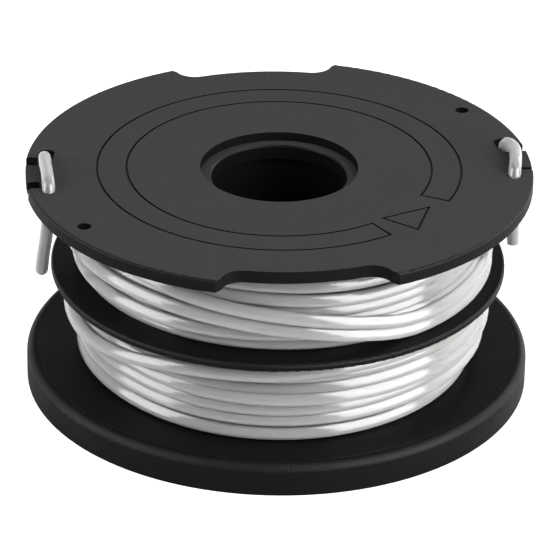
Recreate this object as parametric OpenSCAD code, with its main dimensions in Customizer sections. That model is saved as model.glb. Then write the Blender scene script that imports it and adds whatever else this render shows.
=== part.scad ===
// Dual-line spool for a grass trimmer: a moulded three-flange spool with two
// lengths of nylon line, one wound in each chamber. Millimetres, +Z up, origin
// at the centre of the face that it stands on.

/* [Top flange] */
// Diameter of the top flange
top_d = 80.7; // [76:0.1:90]
// Thickness of the top flange
top_t = 2; // [1.6:0.1:3]
// Radius that rounds the upper edge of the top flange
top_edge = 0.4; // [0.2:0.05:0.8]
// Depth of the two rim notches
notch_depth = 4.25; // [3.4:0.05:6]
// Angle that each rim notch takes of the rim
notch_span = 40.4; // [20:0.1:60]
// Direction of the notch at the back, counter-clockwise from +X
notch_dir = 96.9; // [70:0.1:110]
// Radius of the corners of the notch floor
notch_corner = 3.3; // [1:0.1:4]

/* [Line parking on the top flange] */
// Direction of the first parking tab, counter-clockwise from +X
park_dir = 5.9; // [0:0.1:20]
// Angle that a tab takes of the rim
park_tab_span = 8.7; // [7:0.1:10]
// Distance that a tab's outer face is set back from the rim
park_tab_inset = 0.15; // [0:0.05:0.4]
// Width of the long hole that the lower line comes up through, behind the right tab
right_hole_w = 3.2; // [2.6:0.1:3.3]
// Distance from the rim to the middle of that hole
right_hole_inset = 2.95; // [2.8:0.05:3.4]
// Angle from the middle of the right tab to the middle of the hole's far end
right_hole_far = 9.5; // [8.6:0.1:11]
// Width of the long hole that the upper line comes up through, behind the left tab
left_hole_w = 2.5; // [2.3:0.05:2.8]
// Distance from the rim to the middle of that hole
left_hole_inset = 3.1; // [3:0.05:3.3]
// Angle from the middle of the left tab to the middle of the hole's near end
left_hole_near = 8.8; // [8:0.1:9.5]
// Angle from the middle of the left tab to the middle of the hole's far end
left_hole_far = 11.3; // [10.5:0.1:12]
// Diameter of the parking holes that the lines go down through
park_down_hole_d = 2.2; // [2.1:0.05:2.6]
// Distance from the rim to the centres of those holes
park_down_inset = 3.05; // [2.8:0.05:4]
// Angle from the middle of a tab to the centre of its other hole
park_down_angle = 9.3; // [9.2:0.1:12]
// Width of the slot from the rim to the long hole at the right tab
park_slot_right_w = 2.5; // [1:0.05:3]
// Width of the slot from the rim to the long hole at the left tab
park_slot_left_w = 2.8; // [1:0.05:3]
// Width of the slot at the front of the right tab
park_thin_slot_w = 0.75; // [0.5:0.05:1.8]
// Width of the slot at the front of the left tab
park_front_slot_w = 2.1; // [1:0.05:2.4]
// Depth from the rim to the floor of the slots
park_slot_depth = 2.1; // [1.2:0.05:2.4]
// Diameter of the two anchor holes
anchor_hole_d = 2.2; // [1.5:0.1:3]
// Distance from the rim to the centre of an anchor hole
anchor_hole_inset = 3.35; // [2.5:0.05:8]
// Direction of the first anchor hole, counter-clockwise from +X
anchor_dir = 36.4; // [30:0.1:42]

/* [Arrow on the top flange] */
// Outer diameter of the engraved arrow band
arrow_outer_d = 57.8; // [54:0.1:66]
// Inner diameter of the engraved arrow band
arrow_inner_d = 48.4; // [44:0.1:52]
// Width of the engraved line
arrow_line_w = 0.35; // [0.2:0.05:0.6]
// Depth of the engraved line
arrow_line_depth = 0.3; // [0.1:0.05:0.8]
// Direction where the band starts, counter-clockwise from +X
arrow_start = -23.1; // [-40:0.1:-15]
// Angle that the band goes round, counter-clockwise
arrow_sweep = 329.8; // [200:0.1:332]
// Reach of the arrow head past the band, on each side
arrow_head_over = 0.8; // [0:0.1:1.5]

/* [Divider and base] */
// Diameter of the dividing flange
divider_d = 72.8; // [68:0.1:73]
// Thickness of the dividing flange
divider_t = 1.3; // [1:0.1:2]
// Radius that rounds the rim of the dividing flange
divider_edge = 0.45; // [0.2:0.05:0.48]
// Diameter of the base flange
base_d = 81; // [76:0.1:90]
// Height of the base flange over the face that it stands on
base_h = 5.3; // [5:0.1:8]
// Thickness of the plate of the base flange
base_plate_t = 2.2; // [1.5:0.1:3]
// Thickness of the skirt round the base flange
base_skirt_t = 2; // [1.5:0.1:3]
// Radius that rounds the upper edge of the base flange
base_edge = 1.4; // [0.5:0.1:1.8]
// Width of the lip between the rounded edge and the dished face
base_lip = 0.1; // [0.05:0.05:1]
// Step down from the lip to the dished face
base_step = 0.12; // [0.05:0.01:0.3]
// Dish of the upper face of the base flange at the drum
base_dish = 0.3; // [0.2:0.05:0.6]

/* [Drum and hub] */
// Height of the chamber for the upper line
upper_h = 13.9; // [13.8:0.1:18]
// Height of the chamber for the lower line
lower_h = 14; // [13.8:0.1:18]
// Outer diameter of the drum
drum_d = 50; // [46:0.1:54]
// Wall of the drum
drum_wall = 1.8; // [1.2:0.1:2.5]
// Diameter of the hub bore
bore_d = 21.5; // [18:0.1:22]
// Diameter of the counterbore in the top flange
counterbore_d = 25.1; // [23.5:0.1:26]
// Depth of the counterbore, to the end of the hub tube
counterbore_depth = 1.5; // [0.5:0.1:1.9]
// Chamfer between the counterbore's seat and the bore
bore_edge = 0.25; // [0.1:0.05:0.4]
// Height of the collar that holds the bore's diameter, below the seat
collar_h = 2.4; // [1.5:0.1:8]
// Diameter of the bore below the collar
relief_d = 23.3; // [22.2:0.1:24]
// Wall that the hub tube has outside the bore's diameter
hub_wall = 2.7; // [2.2:0.1:3.5]
// Gap from the end of the hub tube to the face that the spool stands on
hub_lift = 1; // [0:0.1:3]
// Number of webs between the hub tube and the drum
web_count = 6; // [3:1:8]
// Thickness of each web
web_t = 1.6; // [1:0.1:2.5]
// Height of the open ring under the webs
web_lift = 14; // [6:0.5:22]
// Number of ribs under the base flange
rib_count = 12; // [6:1:18]
// Thickness of each rib
rib_t = 1.4; // [0.8:0.1:2]
// Gap from the ribs to the face that the spool stands on
rib_lift = 1; // [0:0.1:2]
// Number of feed lugs inside the drum
lug_count = 8; // [4:1:10]
// Length of each lug towards the hub
lug_l = 2.6; // [1.5:0.1:4]
// Width of each lug
lug_w = 4; // [2:0.1:6]
// Height of each lug
lug_h = 4; // [2:0.1:6]

/* [Line] */
// Diameter of the nylon line
line_d = 2.03; // [1.6:0.01:2.1]
// Diameter over the last layer in the upper chamber
upper_winding_d = 69.3; // [64:0.1:70]
// Diameter over the last layer in the lower chamber
lower_winding_d = 68.8; // [64:0.1:70]
// Spacing of the last two layers of line
layer_step = 2.5; // [2.45:0.01:2.6]
// Gap between the hidden layers and the flanges over and under them
core_gap = 0.1; // [0.05:0.05:0.4]

/* [Hidden] */
$fn = 96;

black = "#2c2c2c";
nylon = "#c9c9c7";

// Heights, from the base up
divider_z = base_h + lower_h;
upper_z = divider_z + divider_t;
top_z = upper_z + upper_h;
total_h = top_z + top_t;
plate_z = base_h - base_plate_t;

// Radii
top_r = top_d / 2;
// The right long hole starts at the end face of the tab
right_hole_near = park_tab_span / 2 + asin(right_hole_w / 2 / (top_r - right_hole_inset));
divider_r = divider_d / 2;
base_r = base_d / 2;
drum_r = drum_d / 2;
drum_in = drum_r - drum_wall;
bore_r = bore_d / 2;
hub_r = bore_r + hub_wall;
relief_r = relief_d / 2;
counterbore_r = counterbore_d / 2;
line_r = line_d / 2;

// Cutting tools reach past a face by this much
past = 1;

// Tube sections
loop_rings = 24;
winding_sides = 6;
end_sides = 8;
// A winding of straight steps dips below its own radius by this share
loop_dip = 1 - cos(180 / loop_rings);
// Gap between a winding and the plain core that it lies on
seat_gap = 0.03;

// Directions in which the free ends leave the windings
upper_leave = -141;
lower_leave = 84;

// Visible turns of each line, as stations on the way to its free end. The line
// goes round clockwise, seen from above: down the last layer but one, then up
// over it in the last layer. The upper line crosses over itself at the front.
// [degrees still to go, layer, height of its middle over the chamber's floor]
upper_stations = [
    [2370, 0, 12.7], [760, 0, 1.55], [700, 0, 1.13], [640, 1, 1.13], [460, 1, 1.2],
    [411, 1, 4.5], [391, 1, 6], [351, 1, 7.1], [231, 1, 5.6], [100, 1, 3.8],
    [51, 1, 7.2], [31, 1, 8.9], [0, 1, 11.5]
];
lower_stations = [
    [2190, 0, 9], [1176, 0, 1.54], [1116, 0, 1.13], [1060, 1, 1.13], [906, 1, 6.1],
    [860, 1, 6.5], [0, 1, 12.8]
];

// Route of the free end of the upper line: out under the top flange, up through
// the long hole behind the left tab, back over the tab and down through the hole
// before it. [x, y, z]
upper_route = [
    [-28.5, -17.9, 32.4], [-30.8, -14.8, 32.3], [-32.7, -11.8, 31.9], [-34.3, -8.6, 31.7],
    [-35.6, -5.3, 31.4], [-36.5, -2.4, 31.3], [-37, -0.3, 31.5], [-37.2, 1, 32.2],
    [-37.3, 1.7, 33.3], [-37.3, 1.85, 34.5], [-37.3, 1.85, 35.5], [-37.3, 1.65, 36.3],
    [-37.3, 1.1, 36.9], [-37.2, 0.1, 37.4], [-37.1, -1.1, 37.6], [-36.9, -2.9, 37.6],
    [-36.6, -4.9, 37.6], [-36.3, -7.3, 37.6], [-36.1, -8.8, 37.5], [-36, -9.6, 37],
    [-36, -10, 36.2], [-36, -10, 34.4], [-36.2, -10.1, 31.5], [-36.5, -10.1, 28.5],
    [-37, -10.1, 25.3], [-37.4, -10.1, 21.8]
];

// Route of the free end of the lower line: out past the divider, up behind the
// winding, through the hole behind the right tab, over the tab and down. [x, y, z]
lower_route = [
    [8.2, 32.8, 17.8], [12.3, 32.3, 17.9], [16.4, 31.3, 17.9], [20.2, 30, 17.9],
    [23.8, 28.3, 17.9], [26.9, 26.3, 18.1], [29.2, 24, 19], [31, 21.5, 20.8],
    [32.6, 19, 23.2], [33.8, 16.6, 26], [34.8, 14.2, 28.7], [35.5, 12, 31.2],
    [35.9, 10.3, 33], [36.1, 9.3, 34.4], [36.15, 9, 35.3], [36.15, 8.9, 36],
    [36.25, 8.6, 36.8], [36.5, 8, 37.3], [36.9, 7.2, 37.5], [37.3, 6.2, 37.6],
    [37.6, 4.8, 37.6], [37.6, 2.8, 37.6], [37.5, 0.9, 37.6], [37.4, -0.5, 37.4],
    [37.3, -1.4, 36.9], [37.3, -1.8, 36.1], [37.3, -1.9, 34.4], [37.3, -2.1, 32],
    [37.4, -2.3, 29.5], [37.4, -2.4, 27], [37.5, -2.5, 24.7]
];

function polar(r, a, z = 0) = [r * cos(a), r * sin(a), z];
function flat_polar(r, a) = [r * cos(a), r * sin(a)];
function arc(r, a0, a1, steps) =
    [for (i = [0:steps]) flat_polar(r, a0 + (a1 - a0) * i / steps)];
function unit(v) = v / norm(v);
function smooth(t) = let (u = min(1, max(0, t))) u * u * (3 - 2 * u);

// Directions along a path, and a cross-section frame that never twists
function directions(p) = [
    for (i = [0:len(p) - 1])
        i == 0 ? unit(p[1] - p[0])
        : i == len(p) - 1 ? unit(p[i] - p[i - 1])
        : unit(unit(p[i + 1] - p[i]) + unit(p[i] - p[i - 1]))
];
function level(v, t) = unit(v - (v * t) * t);
function sides_of(t, v0) = [
    for (i = 0, v = level(v0, t[0]);
         i < len(t);
         i = i + 1, v = i < len(t) ? level(v, t[i]) : v) v
];
function tube_points(p, t, v, r, n) = [
    for (i = [0:len(p) - 1], k = [0:n - 1])
        p[i] + r * (cos(360 * k / n) * v[i] + sin(360 * k / n) * cross(t[i], v[i]))
];
function tube_faces(rings, n) = concat(
    [for (k = [1:n - 2]) [0, k, k + 1]],
    [for (i = [0:rings - 2], k = [0:n - 1]) each [
        [i * n + k, (i + 1) * n + k, i * n + (k + 1) % n],
        [i * n + (k + 1) % n, (i + 1) * n + k, (i + 1) * n + (k + 1) % n]
    ]],
    [for (k = [1:n - 2]) [(rings - 1) * n, (rings - 1) * n + k + 1, (rings - 1) * n + k]]
);

module tube(p, t, v0, n) {
    polyhedron(tube_points(p, t, sides_of(t, v0), line_r, n), tube_faces(len(p), n));
}

// Least distance between two stretches of a winding that are over half a turn
// apart, less the line's diameter
function self_gap(p) = min([
    for (i = [0:len(p) - 1], j = [i + loop_rings / 2:1:len(p) - 1]) norm(p[i] - p[j])
]) - line_d;

// A winding eases from station to station. Its height follows a curve through
// the stations, and its radius steps out from layer to layer.
function station_before(s, a) = max([for (k = [0:len(s) - 2]) if (s[k][0] >= a) k]);
function rise(s, k) = (s[k + 1][2] - s[k][2]) / (s[k + 1][0] - s[k][0]);
function slope(s, k) =
    let (a = rise(s, max(k - 1, 0)), b = rise(s, min(k, len(s) - 2)))
        a * b > 0 ? 2 * a * b / (a + b) : 0;
function eased(s, k, u) =
    let (span = s[k + 1][0] - s[k][0])
        s[k][2] * (1 + 2 * u) * pow(1 - u, 2) + span * slope(s, k) * u * pow(1 - u, 2)
        + s[k + 1][2] * pow(u, 2) * (3 - 2 * u) - span * slope(s, k + 1) * pow(u, 2) * (1 - u);
function winding(stations, leave, inner_r, floor_z) =
    let (
        n = round(stations[0][0] * loop_rings / 360),
        body = [for (i = [0:n]) let (
            to_go = (n - i) * 360 / loop_rings,
            k = station_before(stations, to_go),
            u = (to_go - stations[k][0]) / (stations[k + 1][0] - stations[k][0]),
            layer = stations[k][1] + (stations[k + 1][1] - stations[k][1]) * smooth(u)
        ) polar(inner_r + layer_step * layer, leave + to_go, floor_z + eased(stations, k, u))],
        first = unit(body[0] - body[1]),
        last = unit(body[n] - body[n - 1])
    ) concat([body[0] + line_d * first], body, [body[n] + line_d * last]);

upper_inner_r = upper_winding_d / 2 - line_r - layer_step;
lower_inner_r = lower_winding_d / 2 - line_r - layer_step;
upper_path = winding(upper_stations, upper_leave, upper_inner_r, upper_z);
lower_path = winding(lower_stations, lower_leave, lower_inner_r, base_h);
upper_core_r = upper_inner_r * (1 - loop_dip) - line_r - seat_gap;
lower_core_r = lower_inner_r * (1 - loop_dip) - line_r - seat_gap;

echo(upper_winding_least_gap = self_gap(upper_path));
echo(lower_winding_least_gap = self_gap(lower_path));

// ---- plain shapes that repeat ----

module ring(r_out, r_in, z0, z1) {
    translate([0, 0, z0])
        difference() {
            cylinder(r = r_out, h = z1 - z0);
            translate([0, 0, -past]) cylinder(r = r_in, h = z1 - z0 + 2 * past);
        }
}

// Outline, in the plane of a radius, of a flange with rounded rim edges
module flange_outline(r_in, r_out, z0, z1, edge_top, edge_foot) {
    edge = max(edge_top, edge_foot);
    translate([r_in, z0]) square([r_out - edge - r_in, z1 - z0]);
    translate([r_in, z0 + edge_foot])
        square([r_out - r_in, z1 - z0 - edge_top - edge_foot]);
    translate([r_out - edge_top, z1 - edge_top]) circle(r = edge_top);
    if (edge_foot > 0)
        translate([r_out - edge_foot, z0 + edge_foot]) circle(r = edge_foot);
}

// Sector of a ring, as a flat outline
module sector(r_in, r_out, a0, a1) {
    steps = max(2, ceil(abs(a1 - a0) / 4));
    polygon(concat(arc(r_in, a0, a1, steps), arc(r_out, a1, a0, steps)));
}

// ---- the moulded spool, in its sections ----

// One rim notch, centred on direction 0: a floor arc, two filleted corners and
// short ramps out to the rim
module rim_notch() {
    floor_r = top_r - notch_depth;
    corner_r = floor_r + notch_corner;
    half = notch_span / 2;
    // The ramps lean outwards by this angle
    lean = 0.9;
    wall = half - lean;
    corner = wall - asin(notch_corner / corner_r);
    ramp_foot_r = sqrt(pow(corner_r, 2) - pow(notch_corner, 2));
    sector(floor_r, top_r + past, -corner, corner);
    for (s = [-1, 1]) {
        translate(flat_polar(corner_r, s * corner)) circle(r = notch_corner);
        polygon([
            flat_polar(corner_r, s * corner),
            flat_polar(ramp_foot_r, s * wall),
            flat_polar(top_r, s * half),
            flat_polar(top_r + past, s * (half + lean)),
            flat_polar(top_r + past, s * corner)
        ]);
    }
}

// Slots at both ends of a parking tab, centred on direction 0, and the tab's face
module park_slots(w_before, w_after) {
    half = park_tab_span / 2;
    floor_r = top_r - park_slot_depth;
    // The cut over the tab's face runs this angle into both slots
    lap = 0.5;
    translate([0, 0, top_z - past])
        linear_extrude(top_t + 2 * past) {
            sector(floor_r, top_r + past, -half - w_before / floor_r * 180 / PI, -half);
            sector(floor_r, top_r + past, half, half + w_after / floor_r * 180 / PI);
            sector(top_r - park_tab_inset, top_r + past, -half - lap, half + lap);
        }
}

// Long hole through the top flange, round the axis between two directions. It opens
// into the slot beside the tab.
module long_hole(w, inset, near, far) {
    r = w / 2;
    mid_r = top_r - inset;
    // The part between the round ends is narrower than they are by this much a side
    step = 0.05;
    translate([0, 0, top_z - past])
        linear_extrude(top_t + 2 * past) {
            for (a = [near, far]) translate(flat_polar(mid_r, a)) circle(r = r);
            sector(mid_r - r + step, mid_r + r - step, near, far);
        }
}

// Hole through the top flange at a direction
module flange_hole(angle, inset, d) {
    rotate(angle)
        translate([top_r - inset, 0, top_z - past]) cylinder(d = d, h = top_t + 2 * past);
}

// Outline of the arrow: a band with both ends closed, and a head in the gap
// between its ends. The head sits a little outwards, and its back leans.
module arrow_groove() {
    w = arrow_line_w / 2;
    r_out = arrow_outer_d / 2;
    r_in = arrow_inner_d / 2;
    r_mid = (r_out + r_in) / 2;
    stop = arrow_start + arrow_sweep;
    end_step = w / r_mid * 180 / PI;
    head_shift = 0.5;
    tip_gap = 7;
    back_gap_out = 8.6;
    back_gap_in = 5.8;
    tip = flat_polar(r_mid + head_shift, arrow_start - tip_gap);
    base_out = flat_polar(r_out + arrow_head_over + head_shift, stop + back_gap_out);
    base_in = flat_polar(r_in - arrow_head_over + head_shift, stop + back_gap_in);
    for (r = [r_in, r_out]) sector(r - w, r + w, arrow_start, stop);
    for (a = [arrow_start, stop])
        sector(r_in - w, r_out + w, a - end_step, a + end_step);
    for (pair = [[tip, base_out], [base_out, base_in], [base_in, tip]]) {
        along = pair[1] - pair[0];
        translate(pair[0])
            rotate(atan2(along[1], along[0]))
                translate([-w, -w]) square([norm(along) + 2 * w, 2 * w]);
    }
}

module top_flange() {
    color(black)
        difference() {
            rotate_extrude()
                flange_outline(counterbore_r, top_r, top_z, total_h, top_edge, 0);
            for (turn = [0, 180]) {
                rotate(notch_dir + turn)
                    translate([0, 0, top_z - past])
                        linear_extrude(top_t + 2 * past) rim_notch();
                flange_hole(anchor_dir + turn, anchor_hole_inset, anchor_hole_d);
            }
            rotate(park_dir) {
                park_slots(park_thin_slot_w, park_slot_right_w);
                long_hole(right_hole_w, right_hole_inset, right_hole_near, right_hole_far);
                flange_hole(-park_down_angle, park_down_inset, park_down_hole_d);
            }
            rotate(park_dir + 180) {
                park_slots(park_slot_left_w, park_front_slot_w);
                long_hole(left_hole_w, left_hole_inset, -left_hole_near, -left_hole_far);
                flange_hole(park_down_angle, park_down_inset, park_down_hole_d);
            }
            translate([0, 0, total_h - arrow_line_depth])
                linear_extrude(arrow_line_depth + past) arrow_groove();
        }
}

// Hub tube: its upper end stands inside the top flange and is the seat at the
// bottom of the counterbore. Below its collar the bore is wider.
module hub_tube() {
    seat_z = total_h - counterbore_depth;
    collar_z = seat_z - collar_h;
    color(black)
        rotate_extrude()
            polygon([
                [relief_r, hub_lift], [hub_r, hub_lift], [hub_r, top_z],
                [counterbore_r, top_z], [counterbore_r, seat_z],
                [bore_r + bore_edge, seat_z], [bore_r, seat_z - bore_edge],
                [bore_r, collar_z], [relief_r, collar_z]
            ]);
}

module upper_drum() {
    color(black) ring(drum_r, drum_in, upper_z, top_z);
}

module divider_flange() {
    color(black)
        rotate_extrude()
            flange_outline(
                drum_in, divider_r, divider_z, upper_z, divider_edge, divider_edge
            );
}

module lower_drum() {
    color(black) ring(drum_r, drum_in, base_h - base_dish, divider_z);
}

// Base flange: a plate with a rounded rim and a lip, dished towards the drum, and a
// skirt down to the face that the spool stands on
module base_flange() {
    rim_r = base_r - base_edge;
    lip_r = rim_r - base_lip;
    // The step slopes in over this width
    slope = 0.35;
    color(black)
        rotate_extrude() {
            polygon([
                [drum_in, plate_z], [rim_r, plate_z], [rim_r, base_h], [lip_r, base_h],
                [lip_r - slope, base_h - base_step],
                [drum_r, base_h - base_dish], [drum_in, base_h - base_dish]
            ]);
            translate([base_r - base_skirt_t, 0])
                square([base_skirt_t, base_h - base_edge]);
            translate([rim_r, base_h - base_edge]) circle(r = base_edge);
        }
}

// Webs that carry the hub tube inside the drum
module web_ribs() {
    foot = base_h + web_lift;
    color(black)
        difference() {
            for (i = [0:web_count - 1])
                rotate((i + 0.5) * 360 / web_count)
                    translate([hub_r - past, -web_t / 2, foot])
                        cube([drum_in - hub_r + 2 * past, web_t, top_z - foot]);
            ring(drum_in + 3 * past, drum_in, foot - past, top_z + past);
            translate([0, 0, foot - past]) cylinder(r = hub_r, h = top_z);
        }
}

// Foot of the drum under the plate, and ribs that stiffen the base flange
module skirt_ribs() {
    inner = drum_in + past;
    outer = base_r - base_skirt_t;
    color(black) {
        ring(drum_r, drum_in, rib_lift, plate_z);
        difference() {
            for (i = [0:rib_count - 1])
                rotate(i * 360 / rib_count)
                    translate([inner, -rib_t / 2, rib_lift])
                        cube([outer - inner + past, rib_t, plate_z - rib_lift]);
            ring(outer + 3 * past, outer, -past, plate_z + past);
        }
    }
}

// Lugs inside the foot of the drum, where the feed mechanism pushes
module feed_lugs() {
    color(black)
        difference() {
            for (i = [0:lug_count - 1])
                rotate((i + 0.5) * 360 / lug_count)
                    translate([drum_in - lug_l, -lug_w / 2, rib_lift])
                        cube([lug_l + past, lug_w, lug_h]);
            ring(drum_in + 3 * past, drum_in, -past, rib_lift + lug_h + past);
        }
}

// ---- the two lines: the layers out of sight are a core, the outer layer is a
// winding, and the rest of the line is a free end ----

module upper_line_core() {
    color(nylon)
        ring(upper_core_r, drum_r, upper_z + core_gap, top_z - core_gap);
}

module upper_line_winding() {
    color(nylon) tube(upper_path, directions(upper_path), [0, 0, 1], winding_sides);
}

// A free end starts on the last face of its winding and square to it
module line_end(path, route) {
    last = len(path) - 1;
    p = concat([path[last]], route);
    t = directions(p);
    start = unit(path[last] - path[last - 1]);
    color(nylon) tube(p, concat([start], [for (i = [1:len(t) - 1]) t[i]]), [0, 0, 1], end_sides);
}

module upper_line_end() {
    line_end(upper_path, upper_route);
}

module lower_line_core() {
    color(nylon) ring(lower_core_r, drum_r, base_h + core_gap, divider_z - core_gap);
}

module lower_line_winding() {
    color(nylon) tube(lower_path, directions(lower_path), [0, 0, 1], winding_sides);
}

module lower_line_end() {
    line_end(lower_path, lower_route);
}

top_flange();
hub_tube();
upper_drum();
divider_flange();
lower_drum();
base_flange();
web_ribs();
skirt_ribs();
feed_lugs();
upper_line_core();
upper_line_winding();
upper_line_end();
lower_line_core();
lower_line_winding();
lower_line_end();
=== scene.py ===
from math import cos, pi, radians, sin, sqrt

import bpy
from mathutils import Matrix, Vector


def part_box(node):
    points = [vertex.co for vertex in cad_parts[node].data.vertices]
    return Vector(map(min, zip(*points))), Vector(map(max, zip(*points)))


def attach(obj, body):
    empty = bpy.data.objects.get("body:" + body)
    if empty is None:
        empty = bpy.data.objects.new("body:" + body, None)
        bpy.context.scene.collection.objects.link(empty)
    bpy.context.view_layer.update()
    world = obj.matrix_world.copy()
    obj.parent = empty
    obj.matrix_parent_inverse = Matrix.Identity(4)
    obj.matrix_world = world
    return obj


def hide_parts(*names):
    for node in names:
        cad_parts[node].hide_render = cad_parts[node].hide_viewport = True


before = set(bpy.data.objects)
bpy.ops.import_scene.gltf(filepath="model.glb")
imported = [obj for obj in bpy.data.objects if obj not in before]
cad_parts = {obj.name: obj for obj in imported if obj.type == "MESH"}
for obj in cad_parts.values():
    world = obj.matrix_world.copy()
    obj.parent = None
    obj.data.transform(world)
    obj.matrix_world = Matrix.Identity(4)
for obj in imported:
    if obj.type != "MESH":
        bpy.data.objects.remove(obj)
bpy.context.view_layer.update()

# A grass-trimmer spool: a black three-flange moulding with two nylon lines. The lengths of
# the object are written in millimetres and turned into metres by MM, and those of the
# floor and the lights are in metres.
MM = 0.001
ROOT = "root"

# ---- camera -------------------------------------------------------------------------

TOP_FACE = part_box("top_flange")[1].z
CAMERA_DISTANCE = 596.8 * MM
CAMERA_ELEVATION = 26.103
CAMERA_PAN = -0.038
CAMERA_TILT = -1.731
CAMERA_ROLL = 0.864
LENS = 241.72
SENSOR_WIDTH = 36


def make_camera():
    """Looks along +Y and down at the middle of the top face, from CAMERA_DISTANCE, and is
    then turned by its pan, tilt and roll."""
    data = bpy.data.cameras.new("camera")
    data.lens = LENS
    data.sensor_width = SENSOR_WIDTH
    camera = bpy.data.objects.new("camera", data)
    bpy.context.scene.collection.objects.link(camera)
    elevation = radians(CAMERA_ELEVATION)
    place = Vector((0, -cos(elevation), sin(elevation))) * CAMERA_DISTANCE
    place.z += TOP_FACE
    turn = (
        Matrix.Rotation(radians(90 - CAMERA_ELEVATION), 3, "X")
        @ Matrix.Rotation(radians(CAMERA_PAN), 3, "Y")
        @ Matrix.Rotation(radians(CAMERA_TILT), 3, "X")
        @ Matrix.Rotation(radians(CAMERA_ROLL), 3, "Z")
    )
    camera.matrix_world = Matrix.Translation(place) @ turn.to_4x4()
    bpy.context.scene.camera = camera


make_camera()

# ---- the two lines ------------------------------------------------------------------

LINE_D = 2.03
LINE_R = LINE_D / 2
# Gaps of the innermost layer to the drum, and of the hidden layers to the flanges
DRUM_GAP = 0.02
FLANGE_GAP = 0.03
DRUM_R = (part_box("upper_drum")[1].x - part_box("upper_drum")[0].x) / 2 / MM
FIRST_LAYER_R = DRUM_R + LINE_R + DRUM_GAP
# A layer lies partly between the turns of the one below, so it adds less than LINE_D
LAYER_STEP = 1.88
HIDDEN_LAYERS = 3
# Degrees that a line takes to climb from one layer to the next
CLIMB = 60
# Degrees between two points of a winding, and millimetres between two of a free end
TURN_STEP = 5
FREE_STEP = 0.6
# A round end narrows over END_RINGS steps to the share END_TIP of the line's radius. The
# route's own points stop END_GAP short of it.
END_RINGS = 10
END_TIP = 0.15
END_GAP = 0.2
UPPER_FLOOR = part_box("divider_flange")[1].z / MM
LOWER_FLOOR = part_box("base_flange")[1].z / MM
UPPER_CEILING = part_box("top_flange")[0].z / MM
LOWER_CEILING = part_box("divider_flange")[0].z / MM
# Directions, in degrees from +X, in which the windings end and the free ends begin
UPPER_LEAVE = -141
LOWER_LEAVE = 84
# Degrees that each hidden layer goes round, for a line of 15 feet
UPPER_LAYER = 1845
LOWER_LAYER = 2090

# The visible turns, as stations on the way to the free end, going round clockwise seen
# from above: (degrees still to go, radius, height over the floor of the chamber). The
# upper line comes down once and then climbs over itself twice at the front.
UPPER_TURNS = [
    (3080, 31.4, 12.85), (2961, 31.6, 12.5), (2901, 31.6, 12.85),
    (2601, 31.2, 10.4), (2541, 31.2, 11.3), (2241, 32.0, 8.2), (2181, 32.0, 9.6),
    (1881, 31.6, 6.4), (1821, 31.6, 7.1), (1521, 31.5, 4.6), (1461, 31.5, 5.1),
    (1161, 32.4, 3.5), (1101, 32.3, 2.9), (960, 31.5, 2.2), (801, 31.3, 1.05),
    (700, 30.9, 1.05), (640, 33.1, 1.05), (451, 33.5, 1.1), (441, 33.7, 1.9),
    (431, 33.8, 3.0), (411, 33.9, 4.8), (391, 33.9, 6.15), (371, 33.7, 6.8),
    (351, 33.5, 6.9), (231, 33.4, 5.4), (141, 33.4, 3.7), (91, 33.6, 3.2),
    (71, 33.9, 5.2), (51, 34.0, 7.15), (31, 34.0, 8.7), (0, 33.7, 11.5),
]
# The lower line goes up once. Its last turn dips over the others on the left.
LOWER_TURNS = [
    (2406, 31.0, 1.05), (2346, 32.4, 1.05), (2286, 31.4, 1.3),
    (2046, 32.4, 4), (1986, 32.3, 3.4), (1926, 31.4, 3.7),
    (1686, 32.4, 6), (1626, 32.4, 5.3), (1566, 31.4, 5.7),
    (1326, 33.2, 7.4), (1266, 32.9, 7.3), (1206, 31.5, 7.8),
    (966, 33.2, 9.5), (906, 31.6, 8.4), (846, 31.6, 9.8),
    (606, 33.0, 11.4), (546, 31.2, 10.4), (486, 31.5, 12), (366, 31.6, 12.8),
    (246, 33.2, 12.8), (201, 33.4, 12.5), (186, 33.5, 11.9), (171, 33.5, 11.6),
    (156, 33.5, 11), (146, 33.5, 10.1), (133, 33.4, 9), (116, 33.4, 8.1),
    (96, 33.4, 8.1), (46, 33.4, 10.6), (0, 33.4, 12.6),
]

# Routes of the free ends: out of the winding, up through one parking hole, over the tab
# and down through the other hole
UPPER_ROUTE = [
    (-28.5, -17.9, 32.4), (-30.8, -14.8, 32.3), (-32.7, -11.8, 31.9), (-34.3, -8.6, 31.7),
    (-35.6, -5.3, 31.4), (-36.5, -2.4, 31.3), (-37, -0.3, 31.5), (-37.2, 1, 32.2),
    (-37.3, 1.7, 33.3), (-37.3, 1.85, 34.5), (-37.3, 1.85, 35.5), (-37.3, 1.65, 36.3),
    (-37.3, 1.1, 36.9), (-37.2, 0.1, 37.4), (-37.1, -1.1, 37.6), (-36.9, -2.9, 37.6),
    (-36.6, -4.9, 37.6), (-36.3, -7.3, 37.6), (-36.1, -8.8, 37.5), (-36, -9.6, 37),
    (-36, -10, 36.2), (-36, -10, 34.4), (-36.2, -10.1, 31.5), (-36.5, -10.1, 28.5),
    (-37, -10.1, 25.3), (-37.4, -10.1, 21.8),
]
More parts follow.
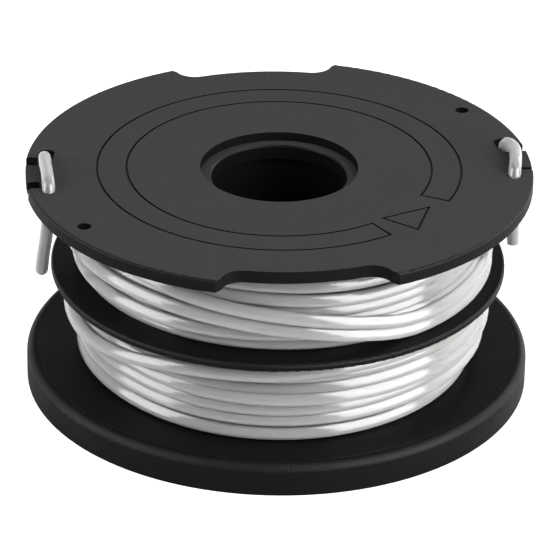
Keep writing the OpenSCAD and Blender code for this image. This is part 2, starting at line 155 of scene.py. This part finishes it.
LOWER_ROUTE = [
    (8.2, 32.8, 17.8), (12.3, 32.3, 17.9), (16.4, 31.3, 17.9), (20.2, 30, 17.9),
    (23.8, 28.3, 17.9), (26.9, 26.3, 18.1), (29.2, 24, 19), (31, 21.5, 20.8),
    (32.6, 19, 23.2), (33.8, 16.6, 26), (34.8, 14.2, 28.7), (35.5, 12, 31.2),
    (35.9, 10.3, 33), (36.1, 9.3, 34.4), (36.15, 9, 35.3), (36.15, 8.9, 36),
    (36.25, 8.6, 36.8), (36.5, 8, 37.3), (36.9, 7.2, 37.5), (37.3, 6.2, 37.6),
    (37.6, 4.8, 37.6), (37.6, 2.8, 37.6), (37.5, 0.9, 37.6), (37.4, -0.5, 37.4),
    (37.3, -1.4, 36.9), (37.3, -1.8, 36.1), (37.3, -1.9, 34.4), (37.3, -2.1, 32),
    (37.4, -2.3, 29.5), (37.4, -2.4, 27), (37.5, -2.5, 24.7),
]


def hidden_stations(visible, layer_turn, low, high, first_up):
    """Stations of the layers under the visible turns, from the drum out."""
    stations = []
    to_go = visible[0][0] + HIDDEN_LAYERS * (layer_turn + CLIMB)
    up = first_up
    for layer in range(HIDDEN_LAYERS):
        radius = FIRST_LAYER_R + layer * LAYER_STEP
        start, stop = (low, high) if up else (high, low)
        stations.append((to_go, radius, start))
        stations.append((to_go - layer_turn, radius, stop))
        to_go -= layer_turn + CLIMB
        up = not up
    return stations


def slope_between(first, second, field):
    return (second[field] - first[field]) / (second[0] - first[0])


def slope_at(stations, k, field):
    """Slope at station k of a curve that never goes past its stations."""
    before = max(k - 1, 0)
    after = min(k, len(stations) - 2)
    slope_in = slope_between(stations[before], stations[before + 1], field)
    slope_out = slope_between(stations[after], stations[after + 1], field)
    if slope_in * slope_out <= 0:
        return 0
    return 2 * slope_in * slope_out / (slope_in + slope_out)


def eased(stations, k, u, field):
    """Value of a station field between stations k and k + 1, at the share u."""
    span = stations[k + 1][0] - stations[k][0]
    a, b = stations[k][field], stations[k + 1][field]
    ease_out = span * slope_at(stations, k, field) * u * (1 - u) ** 2
    ease_in = span * slope_at(stations, k + 1, field) * u ** 2 * (1 - u)
    return a * (1 + 2 * u) * (1 - u) ** 2 + ease_out + b * u ** 2 * (3 - 2 * u) - ease_in


def winding(stations, leave, floor):
    """Points of a winding, one every TURN_STEP degrees, from the drum to the free end."""
    points = []
    k = 0
    for to_go in range(stations[0][0], -1, -TURN_STEP):
        while k < len(stations) - 2 and to_go < stations[k + 1][0]:
            k += 1
        u = (to_go - stations[k][0]) / (stations[k + 1][0] - stations[k][0])
        radius = eased(stations, k, u, 1)
        angle = radians(leave + to_go)
        height = floor + eased(stations, k, u, 2)
        points.append(Vector((radius * cos(angle), radius * sin(angle), height)))
    return points


def through(points, step):
    """A smooth curve through points, as points about step apart."""
    ends = [2 * points[0] - points[1]] + points + [2 * points[-1] - points[-2]]
    curve = []
    for a, b, c, d in zip(ends, ends[1:], ends[2:], ends[3:]):
        count = max(1, round((c - b).length / step))
        for i in range(count):
            t = i / count
            curve.append(0.5 * (
                2 * b + (c - a) * t + (2 * a - 5 * b + 4 * c - d) * t ** 2
                + (3 * b - a - 3 * c + d) * t ** 3
            ))
    curve.append(points[-1])
    return curve


def with_end_rings(points):
    """A route with its last radius divided into END_RINGS equal steps."""
    end = points[-1]
    forward = (end - points[-6]).normalized()
    body = [point for point in points if (point - end).length > LINE_R + END_GAP]
    rings = [end - forward * LINE_R * (1 - i / END_RINGS) for i in range(END_RINGS + 1)]
    return body + rings


def line_tube(name, points, round_end):
    """One open spline with a round section. A round end narrows over its last radius."""
    data = bpy.data.curves.new(name, "CURVE")
    data.dimensions = "3D"
    data.bevel_depth = LINE_R * MM
    data.bevel_resolution = 6
    data.use_fill_caps = True
    data.twist_mode = "MINIMUM"
    spline = data.splines.new("POLY")
    spline.points.add(len(points) - 1)
    for knot, point in zip(spline.points, points):
        knot.co = (*(point * MM), 1)
    if round_end:
        for knot, point in zip(spline.points, points):
            left = (point - points[-1]).length / LINE_R
            if left < 1:
                knot.radius = max(END_TIP, sqrt(1 - (1 - left) ** 2))
    return as_mesh(name, data)


def as_mesh(name, curve):
    """The tube of a curve as a mesh object."""
    maker = bpy.data.objects.new(name + "_curve", curve)
    bpy.context.scene.collection.objects.link(maker)
    shown = maker.evaluated_get(bpy.context.evaluated_depsgraph_get())
    mesh = bpy.data.meshes.new_from_object(shown)
    mesh.name = name
    bpy.data.objects.remove(maker)
    bpy.data.curves.remove(curve)
    line = bpy.data.objects.new(name, mesh)
    bpy.context.scene.collection.objects.link(line)
    return line


def make_line(name, turns, layer_turn, leave, floor, room, first_up, route, round_end):
    """One line, as one tube from the drum to its free end. The hidden layers go between
    the floor of the chamber and the room over it, the first one up if first_up."""
    low = LINE_R + FLANGE_GAP
    high = room - low
    stations = hidden_stations(turns, layer_turn, low, high, first_up) + turns
    wound = winding(stations, leave, floor)
    free = through(wound[-2:] + [Vector(place) for place in route], FREE_STEP)
    if round_end:
        free = with_end_rings(free)
    points = wound[:-2] + free
    line = line_tube(name, points, round_end)
    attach(line, ROOT)
    side = name.split("_")[0]
    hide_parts(f"{side}_line_core", f"{side}_line_winding", f"{side}_line_end")
    return line


upper_line = make_line(
    "upper_line", UPPER_TURNS, UPPER_LAYER, UPPER_LEAVE, UPPER_FLOOR,
    UPPER_CEILING - UPPER_FLOOR, True, UPPER_ROUTE, True,
)
lower_line = make_line(
    "lower_line", LOWER_TURNS, LOWER_LAYER, LOWER_LEAVE, LOWER_FLOOR,
    LOWER_CEILING - LOWER_FLOOR, False, LOWER_ROUTE, False,
)

# ---- materials ----------------------------------------------------------------------


def grey(level):
    return (level, level, level, 1)


def new_material(name):
    material = bpy.data.materials.new(name)
    material.use_nodes = True
    tree = material.node_tree
    shader = tree.nodes["Principled BSDF"]
    return material, tree, shader


def noise(tree, scale, detail, roughness=0.5):
    """Noise that is fixed to the object, with its scale per millimetre."""
    place = tree.nodes.new("ShaderNodeTexCoord")
    texture = tree.nodes.new("ShaderNodeTexNoise")
    texture.inputs["Scale"].default_value = scale / MM
    texture.inputs["Detail"].default_value = detail
    texture.inputs["Roughness"].default_value = roughness
    tree.links.new(place.outputs["Object"], texture.inputs["Vector"])
    return texture.outputs["Fac"]


def remap(tree, value, low, high, to_low, to_high):
    node = tree.nodes.new("ShaderNodeMapRange")
    node.inputs["From Min"].default_value = low
    node.inputs["From Max"].default_value = high
    node.inputs["To Min"].default_value = to_low
    node.inputs["To Max"].default_value = to_high
    tree.links.new(value, node.inputs["Value"])
    return node.outputs["Result"]


def rising(tree, value, low, high):
    """0 up to low and 1 from high on."""
    return remap(tree, value, low, high, 0, 1)


def falling(tree, value, low, high):
    """1 up to low and 0 from high on."""
    return remap(tree, value, low, high, 1, 0)


def between(tree, share, start, stop):
    return remap(tree, share, 0, 1, start, stop)


def combined(tree, operation, a, b):
    node = tree.nodes.new("ShaderNodeMath")
    node.operation = operation
    tree.links.new(a, node.inputs[0])
    tree.links.new(b, node.inputs[1])
    return node.outputs[0]


def vector_math(tree, operation, value, other=(0, 0, 0)):
    node = tree.nodes.new("ShaderNodeVectorMath")
    node.operation = operation
    node.inputs[1].default_value = other
    tree.links.new(value, node.inputs[0])
    return node


def mixed_colour(tree, share, first, second):
    """A colour between two. Each is a plain colour or another node's output."""
    node = tree.nodes.new("ShaderNodeMix")
    node.data_type = "RGBA"
    tree.links.new(share, node.inputs["Factor"])
    for socket, colour in (("A", first), ("B", second)):
        if isinstance(colour, tuple):
            node.inputs[socket].default_value = colour
        else:
            tree.links.new(colour, node.inputs[socket])
    return node.outputs["Result"]


def bump(tree, height, depth):
    node = tree.nodes.new("ShaderNodeBump")
    node.inputs["Distance"].default_value = depth * MM
    tree.links.new(height, node.inputs["Height"])
    return node


def from_axis(tree, place):
    """The part of a place that leads away from the spool's axis."""
    return vector_math(tree, "MULTIPLY", place.outputs["Object"], (1, 1, 0)).outputs["Vector"]


def axis_distance(tree):
    """Distance of a point from the spool's axis, and its height."""
    place = tree.nodes.new("ShaderNodeTexCoord")
    split = tree.nodes.new("ShaderNodeSeparateXYZ")
    tree.links.new(place.outputs["Object"], split.inputs[0])
    distance = vector_math(tree, "LENGTH", from_axis(tree, place))
    return distance.outputs["Value"], split.outputs["Z"]


def normal_height(tree):
    """How far a face looks up: 1 on a level face, 0 on a wall."""
    geometry = tree.nodes.new("ShaderNodeNewGeometry")
    split = tree.nodes.new("ShaderNodeSeparateXYZ")
    tree.links.new(geometry.outputs["True Normal"], split.inputs[0])
    return split.outputs["Z"]


# How far a face looks up where a wall turns into an edge, and where an edge turns into a
# level face
WALL_TO_EDGE = (0.1, 0.3)
EDGE_TO_LEVEL = (0.9, 0.98)
# Depth under the top face down to which level faces get the painted light of the upper face,
# which takes in the seat
UPPER_DEPTH = 1.7
UPPER_BLUR = 0.05

PLASTIC = grey(0.003)
# Lighter tone of the upper face and the seat: partly the top face's matte grain, partly painted
# light on faces that look up
PLASTIC_PAINTED_LIGHT = grey(0.022)
SPECULAR = 0.032
SPECULAR_EDGE = 0.11
# Roughness of smooth plastic at the two ends of the haze, and what the grain adds to it
HAZE = (0.3, 0.7)
SMOOTH_ROUGHNESS = (0.34, 0.42)
GRAIN_ROUGHNESS = 0.1
GRAIN_DEPTH = 0.12
GRAIN_STRENGTH = (0.1, 0.9)
GRAIN_BLUR = 0.3
# Radius from which each flange is grained, and a radius that nothing reaches
GRAIN_FROM = {"top_flange": 0, "divider_flange": 35.8, "base_flange": 38.7}
NO_GRAIN = 60


def edge_mask(tree):
    """1 on rounded upper edges, 0 on walls and level faces."""
    up = normal_height(tree)
    not_wall = rising(tree, up, *WALL_TO_EDGE)
    return combined(tree, "MULTIPLY", not_wall, falling(tree, up, *EDGE_TO_LEVEL))


def upper_painted_light_mask(tree, height):
    """Where light is painted: 1 on the upper face and on the seat round the bore, 0 elsewhere."""
    start = TOP_FACE - UPPER_DEPTH * MM
    near_top = rising(tree, height, start - UPPER_BLUR * MM, start + UPPER_BLUR * MM)
    level = rising(tree, normal_height(tree), *EDGE_TO_LEVEL)
    return combined(tree, "MULTIPLY", near_top, level)


def black_plastic(name, grain_from):
    """Moulded black plastic with a spark-eroded grain further out than grain_from. The upper face
    and the seat are a little greyer, partly the grain's matte grey and partly painted light on
    faces that look up, and rounded edges shine more."""
    material, tree, shader = new_material(name)
    radius, height = axis_distance(tree)
    # Painted light: level faces near the top take the lighter upper tone
    tone = mixed_colour(tree, upper_painted_light_mask(tree, height), PLASTIC, PLASTIC_PAINTED_LIGHT)
    tree.links.new(tone, shader.inputs["Base Color"])
    specular = between(tree, edge_mask(tree), SPECULAR, SPECULAR_EDGE)
    tree.links.new(specular, shader.inputs["Specular IOR Level"])
    grained = rising(tree, radius, (grain_from - GRAIN_BLUR) * MM, (grain_from + GRAIN_BLUR) * MM)
    haze = noise(tree, scale=0.12, detail=2)
    smooth = remap(tree, haze, *HAZE, *SMOOTH_ROUGHNESS)
    rough = tree.nodes.new("ShaderNodeMath")
    rough.operation = "MULTIPLY_ADD"
    rough.inputs[1].default_value = GRAIN_ROUGHNESS
    tree.links.new(grained, rough.inputs[0])
    tree.links.new(smooth, rough.inputs[2])
    tree.links.new(rough.outputs[0], shader.inputs["Roughness"])
    grain = bump(tree, noise(tree, scale=3.6, detail=2, roughness=0.6), GRAIN_DEPTH)
    tree.links.new(between(tree, grained, *GRAIN_STRENGTH), grain.inputs["Strength"])
    tree.links.new(grain.outputs["Normal"], shader.inputs["Normal"])
    return material


NYLON = (0.58, 0.58, 0.57, 1)
# Colours of a free end: painted shade where it faces the viewer and a painted sheen at its sides,
# and the range of Layer Weight between them
FREE_END_PAINTED_SHADE = grey(0.17)
FREE_END_PAINTED_SHEEN = grey(0.37)
FREE_END_FACING = (0.2, 0.8)
# Radius up to which a line has the look of the winding, and from which that of a free end
FREE_END_RADII = (34.9, 36)
NYLON_VALUES = {
    "Roughness": 0.15,
    "IOR": 1.53,
    "Subsurface Radius": (1, 1, 1),
    "Coat Roughness": 0.12,
}
# Values that differ, on the winding and on the free end
WOUND_AND_FREE = {
    "Subsurface Weight": (0.4, 1),
    "Subsurface Scale": (2 * LINE_D * MM, LINE_D * MM),
    "Coat Weight": (0.1, 0.3),
    "Transmission Weight": (0.75, 0.3),
}
DRAW_MARK_DEPTH = 0.02
DRAW_MARK_STRENGTH = 0.4
EVENED_SHARE = 0.6
EVENED_RISE = 0.4


def evened_normal(tree, share):
    """Normal of a strand, turned by a share towards the outside of the winding and up.
    Light spreads inside and between the strands, and this evens out their shading."""
    place = tree.nodes.new("ShaderNodeTexCoord")
    outward = vector_math(tree, "NORMALIZE", from_axis(tree, place))
    raised = vector_math(tree, "ADD", outward.outputs["Vector"], (0, 0, EVENED_RISE))
    turned = tree.nodes.new("ShaderNodeVectorTransform")
    turned.vector_type = "NORMAL"
    turned.convert_from = "OBJECT"
    turned.convert_to = "WORLD"
    tree.links.new(raised.outputs["Vector"], turned.inputs[0])
    geometry = tree.nodes.new("ShaderNodeNewGeometry")
    mix = tree.nodes.new("ShaderNodeMix")
    mix.data_type = "VECTOR"
    tree.links.new(share, mix.inputs["Factor"])
    tree.links.new(geometry.outputs["Normal"], mix.inputs["A"])
    tree.links.new(turned.outputs[0], mix.inputs["B"])
    return vector_math(tree, "NORMALIZE", mix.outputs["Result"]).outputs["Vector"]


def nylon():
    """Translucent white nylon line, drawn smooth. The free ends, which have no layers behind
    them, are greyer with painted shade where they face the viewer and lighter with a painted
    sheen at their sides, and keep their own normal."""
    material, tree, shader = new_material("nylon_line")
    radius, _ = axis_distance(tree)
    inner, outer = FREE_END_RADII
    free = rising(tree, radius, inner * MM, outer * MM)
    weight = tree.nodes.new("ShaderNodeLayerWeight")
    # Painted shade where a free end faces the viewer and a painted sheen at its sides, by Layer
    # Weight
    side = rising(tree, weight.outputs["Facing"], *FREE_END_FACING)
    free_end_painted_tone = mixed_colour(tree, side, FREE_END_PAINTED_SHADE, FREE_END_PAINTED_SHEEN)
    tree.links.new(mixed_colour(tree, free, NYLON, free_end_painted_tone), shader.inputs["Base Color"])
    for socket, value in NYLON_VALUES.items():
        shader.inputs[socket].default_value = value
    for socket, (wound, loose) in WOUND_AND_FREE.items():
        tree.links.new(between(tree, free, wound, loose), shader.inputs[socket])
    marks = bump(tree, noise(tree, scale=0.4, detail=2), DRAW_MARK_DEPTH)
    marks.inputs["Strength"].default_value = DRAW_MARK_STRENGTH
    share = between(tree, free, EVENED_SHARE, 0)
    tree.links.new(evened_normal(tree, share), marks.inputs["Normal"])
    for socket in ("Normal", "Coat Normal"):
        tree.links.new(marks.outputs["Normal"], shader.inputs[socket])
    return material


LINE_NODES = [
    f"{side}_line_{part}" for side in ("upper", "lower") for part in ("core", "winding", "end")
]
for name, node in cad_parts.items():
    if name not in LINE_NODES:
        node.data.materials.clear()
        node.data.materials.append(black_plastic(name, GRAIN_FROM.get(name, NO_GRAIN)))
line_material = nylon()
for line in (upper_line, lower_line):
    line.data.materials.append(line_material)

# ---- floor, lights and background ---------------------------------------------------

FLOOR_SIZE = 8
FLOOR_TONE = grey(0.8)
FLOOR_SEEN_TONE = grey(0.35)
FLOOR_GLOW = 0.8
WORLD_STRENGTH = 0.25
# Azimuth and elevation in degrees, distance, width, height, and radiance
SOFTBOXES = {
    "overhead": (90, 75, 0.8, 0.7, 0.7, 1.6),
    "right": (-32, 22, 0.7, 0.65, 0.8, 11),
    "left": (-165, 20, 0.7, 0.45, 0.75, 8),
    "back": (90, 22, 1.5, 2.4, 0.8, 0.5),
    "right side": (30, 16, 0.9, 0.9, 0.5, 3),
    "left side": (150, 16, 0.9, 0.9, 0.5, 0.8),
}


def floor_material():
    """A pale floor. The camera sees it near white with the object's shadow, also through
    the nylon, and all other rays see a plain diffuse floor."""
    material = bpy.data.materials.new("floor")
    material.use_nodes = True
    tree = material.node_tree
    tree.nodes.clear()
    output = tree.nodes.new("ShaderNodeOutputMaterial")
    plain = tree.nodes.new("ShaderNodeBsdfDiffuse")
    plain.inputs["Color"].default_value = FLOOR_TONE
    shadowed = tree.nodes.new("ShaderNodeBsdfDiffuse")
    shadowed.inputs["Color"].default_value = FLOOR_SEEN_TONE
    glow = tree.nodes.new("ShaderNodeEmission")
    glow.inputs["Strength"].default_value = FLOOR_GLOW
    pale = tree.nodes.new("ShaderNodeAddShader")
    tree.links.new(shadowed.outputs[0], pale.inputs[0])
    tree.links.new(glow.outputs[0], pale.inputs[1])
    path = tree.nodes.new("ShaderNodeLightPath")
    camera_ray = path.outputs["Is Camera Ray"]
    seen = combined(tree, "MAXIMUM", camera_ray, path.outputs["Is Transmission Ray"])
    mix = tree.nodes.new("ShaderNodeMixShader")
    tree.links.new(seen, mix.inputs[0])
    tree.links.new(plain.outputs[0], mix.inputs[1])
    tree.links.new(pale.outputs[0], mix.inputs[2])
    tree.links.new(mix.outputs[0], output.inputs["Surface"])
    return material


def make_floor():
    mesh = bpy.data.meshes.new("floor")
    half = FLOOR_SIZE / 2
    corners = [(-half, -half, 0), (half, -half, 0), (half, half, 0), (-half, half, 0)]
    mesh.from_pydata(corners, [], [(0, 1, 2, 3)])
    mesh.materials.append(floor_material())
    floor = bpy.data.objects.new("floor", mesh)
    bpy.context.scene.collection.objects.link(floor)


def softbox(name, azimuth, elevation, distance, width, height, radiance):
    """An area light round the spool, turned to its middle. Its power gives it the same
    brightness whatever its size."""
    data = bpy.data.lights.new(name, "AREA")
    data.shape = "RECTANGLE"
    data.size = width
    data.size_y = height
    data.energy = radiance * pi * width * height
    lamp = bpy.data.objects.new(name, data)
    bpy.context.scene.collection.objects.link(lamp)
    a, e = radians(azimuth), radians(elevation)
    away = Vector((cos(a) * cos(e), sin(a) * cos(e), sin(e)))
    middle = Vector((0, 0, TOP_FACE / 2))
    lamp.location = middle + away * distance
    lamp.rotation_mode = "QUATERNION"
    lamp.rotation_quaternion = (-away).to_track_quat("-Z", "Y")


def make_world():
    world = bpy.data.worlds.new("studio")
    world.use_nodes = True
    background = world.node_tree.nodes["Background"]
    background.inputs["Color"].default_value = grey(1)
    background.inputs["Strength"].default_value = WORLD_STRENGTH
    bpy.context.scene.world = world


make_floor()
make_world()
for name, place in SOFTBOXES.items():
    softbox(name, *place)
bpy.context.scene.view_settings.view_transform = "Standard"
